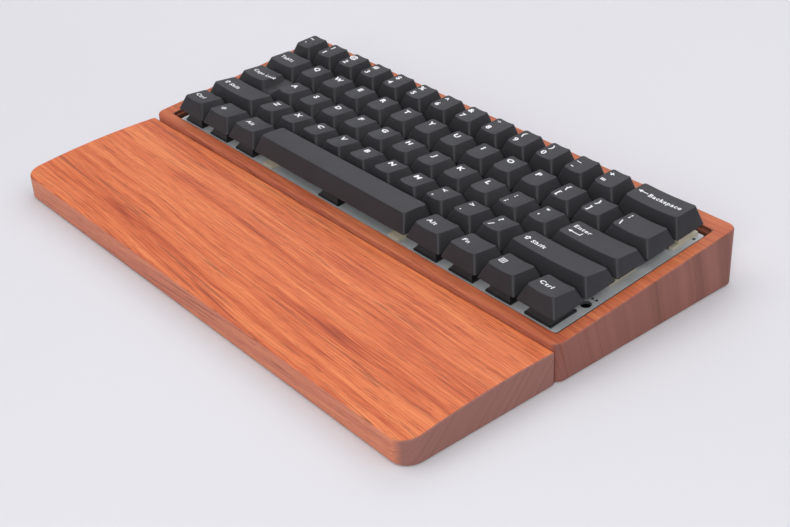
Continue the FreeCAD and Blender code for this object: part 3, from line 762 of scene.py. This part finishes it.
def legend_parts():
    """For each key, a list of (kind, value, height, across, back, alignment)."""
    parts = {}
    for key in TOP_LETTERS + HOME + LOW:
        if len(key) == 1:
            parts[key] = [("text", key.upper(), LETTER_H, *ALONE, "middle")]
    for key, (low, high) in PAIRS.items():
        parts[key] = [("text", high, SIGN_H, *UPPER, "middle"),
                      ("text", low, SIGN_H, *LOWER, "middle")]
    broken_bar = [block(-0.25, 0.3, 0.25, 1.6), block(-0.25, -1.6, 0.25, -0.3)]
    parts["backslash"] = [("draw", broken_bar, 1.0, -8.1, 3.2, "middle"),
                          ("text", "\\", 3.3, -8.1, -3.1, "middle")]
    parts["backspace"] = [("draw", [arrow_left(5.6, 2.1, 2.2, 0.55)], 1.0, -10.6, 0.5, "middle"),
                          ("text", "Backspace", WORD_H, -6.9, 0.4, "left")]
    parts["tab"] = [("text", "Tab", WORD_H, -8.0, 0.0, "left"),
                    ("draw", tab_arrows(1.1), 1.0, 0.6, -0.1, "middle")]
    parts["caps_lock"] = [("text", "Caps Lock", WORD_H, -10.1, 0.0, "left")]
    parts["left_shift"] = [("draw", shift_arrow(1.12), 1.0, -13.5, -0.3, "middle"),
                           ("text", "Shift", WORD_H, -10.4, -0.6, "left")]
    parts["right_shift"] = [("draw", shift_arrow(1.12), 1.0, -18.6, -0.2, "middle"),
                            ("text", "Shift", WORD_H, -15.5, -0.6, "left")]
    parts["enter"] = [("text", "Enter", WORD_H, -15.2, 2.1, "left"),
                      ("draw", enter_arrow(1.15), 1.0, -11.4, -2.1, "middle")]
    for key, text in (("left_ctrl", "Ctrl"), ("left_alt", "Alt"), ("right_alt", "Alt"), ("fn", "Fn"),
                      ("right_ctrl", "Ctrl")):
        parts[key] = [("text", text, WORD_H, -6.1, 0.0, "left")]
    parts["system"] = [("draw", diamond(1.7), 1.0, -4.4, 0.0, "middle")]
    parts["menu"] = [("draw", menu_list(1.0), 1.0, -4.9, -0.1, "middle")]
    return parts


def make_legends(surfaces):
    capital = text_shape("H")[0][:, 1].max()
    for key, parts in legend_parts().items():
        px, py, row, dx, surface = surfaces[key]
        centre, axes = cap_place(row, 0.0)
        shells = []
        for kind, value, height, across, back, alignment in parts:
            if kind == "text":
                weight = BOLD if len(value) == 1 and value.isalpha() else MEDIUM
                points, faces = text_shape(value, weight)
                points = points * (height / capital) * (WIDEN, 1.0)
                points = points - (0.0, height / 2)
            else:
                points, faces = drawn_shape(value)
            low, high = points[:, 0].min(), points[:, 0].max()
            shift = across - (low if alignment == "left" else (low + high) / 2)
            solid, solid_faces = thickened(points + (shift, back), faces)
            u, v = solid[:, 0] - dx, solid[:, 1]
            solid[:, 2] += surface(u, v)
            shells.append((centre + solid @ axes, solid_faces))
        points, faces = joined(shells)
        legend = make_object("legend_" + key, on_board(points, px, py), faces, LEGEND_PLASTIC)
        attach(legend, body_of(key))


# ---- springs ------------------------------------------------------------------------------
def make_springs():
    """Round-wire coils, one for each switch, as one piece."""
    per_turn, sides = 18, 6
    steps = SPRING_TURNS * per_turn
    rings = []
    for k in range(steps + 1):
        a = 2 * math.pi * k / per_turn
        b = 2 * math.pi * np.arange(sides) / sides
        out = np.array([math.cos(a), math.sin(a), 0.0])
        height = SPRING_LOW + (SPRING_HIGH - SPRING_LOW) * k / steps
        around = np.outer(np.cos(b), out) + np.outer(np.sin(b), (0, 0, 1))
        rings.append(out * SPRING_R + (0, 0, height) + around * SPRING_WIRE_R)
    points, faces = loft(rings)
    shells = []
    for _, centre_y, keys in ROWS:
        x = 0.0
        for _, units in keys:
            shells.append((on_board(points, (x + units / 2) * PITCH, centre_y * PITCH), faces))
            x += units
    points, faces = joined(shells)
    springs = make_object("coil_springs", points, faces, SPRING_STEEL)
    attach(springs, "base")
    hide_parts("switch_springs")


def paint_nodes():
    """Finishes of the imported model's own nodes."""
    paints = {
        "case": CASE_WOOD, "wrist_rest": REST_WOOD, "switch_plate": PLATE_STEEL,
        "circuit_board": BOARD_MASK, "controller_chip": CHIP_EPOXY, "diodes": CHIP_EPOXY,
        "switch_top_housings": BLACK_PLASTIC, "switch_bottom_housings": BLACK_PLASTIC,
        "stabilizer_housings": CREAM_PLASTIC, "case_feet": RUBBER, "wrist_rest_feet": RUBBER,
        "usb_socket": WIRE_STEEL, "board_screws": WIRE_STEEL, "threaded_inserts": TURNED_BRASS,
    }
    for key in STABILISED:
        paints["wire_" + key] = WIRE_STEEL
    for node, material in paints.items():
        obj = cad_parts[node]
        obj.data.materials.clear()
        obj.data.materials.append(material)


# ---- surroundings -------------------------------------------------------------------------
def make_floor():
    """Pale bowl: flat under the object, rising all round to a wall. Sizes are in metres."""
    flat_r, bend_r, wall_top = 1.7, 1.1, 2.6
    n, steps = 96, 12
    around = 2 * math.pi * np.arange(n) / n
    profile = [(r, 0.0) for r in (0.05, 0.4, 0.8, 1.2, flat_r)]
    for k in range(1, steps + 1):
        a = math.pi / 2 * k / steps
        profile.append((flat_r + bend_r * math.sin(a), bend_r - bend_r * math.cos(a)))
    profile.append((flat_r + bend_r, wall_top))
    circle = np.column_stack([np.cos(around), np.sin(around)])
    rings = [flat(circle * r, z) for r, z in profile]
    points, faces = loft(rings, closed=False)
    faces.append(tuple(range(n - 1, -1, -1)))
    p = Paint("paper", Roughness=0.85)
    p.bsdf.inputs["Specular IOR Level"].default_value = 0.15
    soft = p.noise(p.object, 3.0, 2.0)
    p.colour(p.ramp(soft, [(0.3, (0.655, 0.651, 0.668)), (0.7, (0.670, 0.666, 0.683))]))
    floor = make_object("floor", points, faces, p.mat, 60)
    for f in floor.data.polygons:
        f.flip()


def area_light(name, at, towards, size, power, colour):
    data = bpy.data.lights.new(name, "AREA")
    data.shape = "RECTANGLE"
    data.size, data.size_y = size
    data.energy = power
    data.color = colour
    light = bpy.data.objects.new(name, data)
    light.location = at
    aim = Vector(towards) - Vector(at)
    light.rotation_mode = "QUATERNION"
    light.rotation_quaternion = aim.to_track_quat("-Z", "Y")
    bpy.context.scene.collection.objects.link(light)


def make_lights():
    area_light("key_light", (-0.6, -0.4, 1.7), (0, 0, 0), (1.6, 1.6), 13.0, (1.0, 0.985, 0.97))
    area_light("back_light", (-0.6, 1.2, 1.1), (0, 0, 0), (2.0, 0.9), 9.0, (0.97, 0.98, 1.0))
    area_light("front_light", (0.92, -1.12, 0.78), (0, 0, 0), (0.45, 0.45), 9.0, (1.0, 0.99, 0.98))
    area_light("right_light", (1.1, 0.5, 1.3), (0.2, 0.1, 0), (1.4, 1.4), 7.5, (0.98, 0.99, 1.0))
    world = bpy.data.worlds.new("studio")
    world.use_nodes = True
    background = world.node_tree.nodes["Background"]
    background.inputs["Color"].default_value = (0.90, 0.91, 1.0, 1.0)
    background.inputs["Strength"].default_value = 0.58
    bpy.context.scene.world = world


def make_camera():
    data = bpy.data.cameras.new("camera")
    data.lens = CAMERA_LENS
    data.sensor_width = 36.0
    data.clip_start, data.clip_end = 0.01, 20.0
    camera = bpy.data.objects.new("camera", data)
    turn, pitch, roll = (Matrix.Rotation(math.radians(angle), 3, axis) for angle, axis in (
        (CAMERA_TURN, "Z"), (CAMERA_PITCH, "X"), (CAMERA_ROLL, "Z")))
    camera.rotation_mode = "QUATERNION"
    camera.rotation_quaternion = (turn @ pitch @ roll).to_quaternion()
    camera.location = CAMERA_AT
    bpy.context.scene.collection.objects.link(camera)
    bpy.context.scene.camera = camera


paint_nodes()
make_legends(make_keys())
make_springs()
make_floor()
make_lights()
make_camera()
settings = bpy.context.scene.view_settings
settings.view_transform = "Standard"
settings.look = "None"
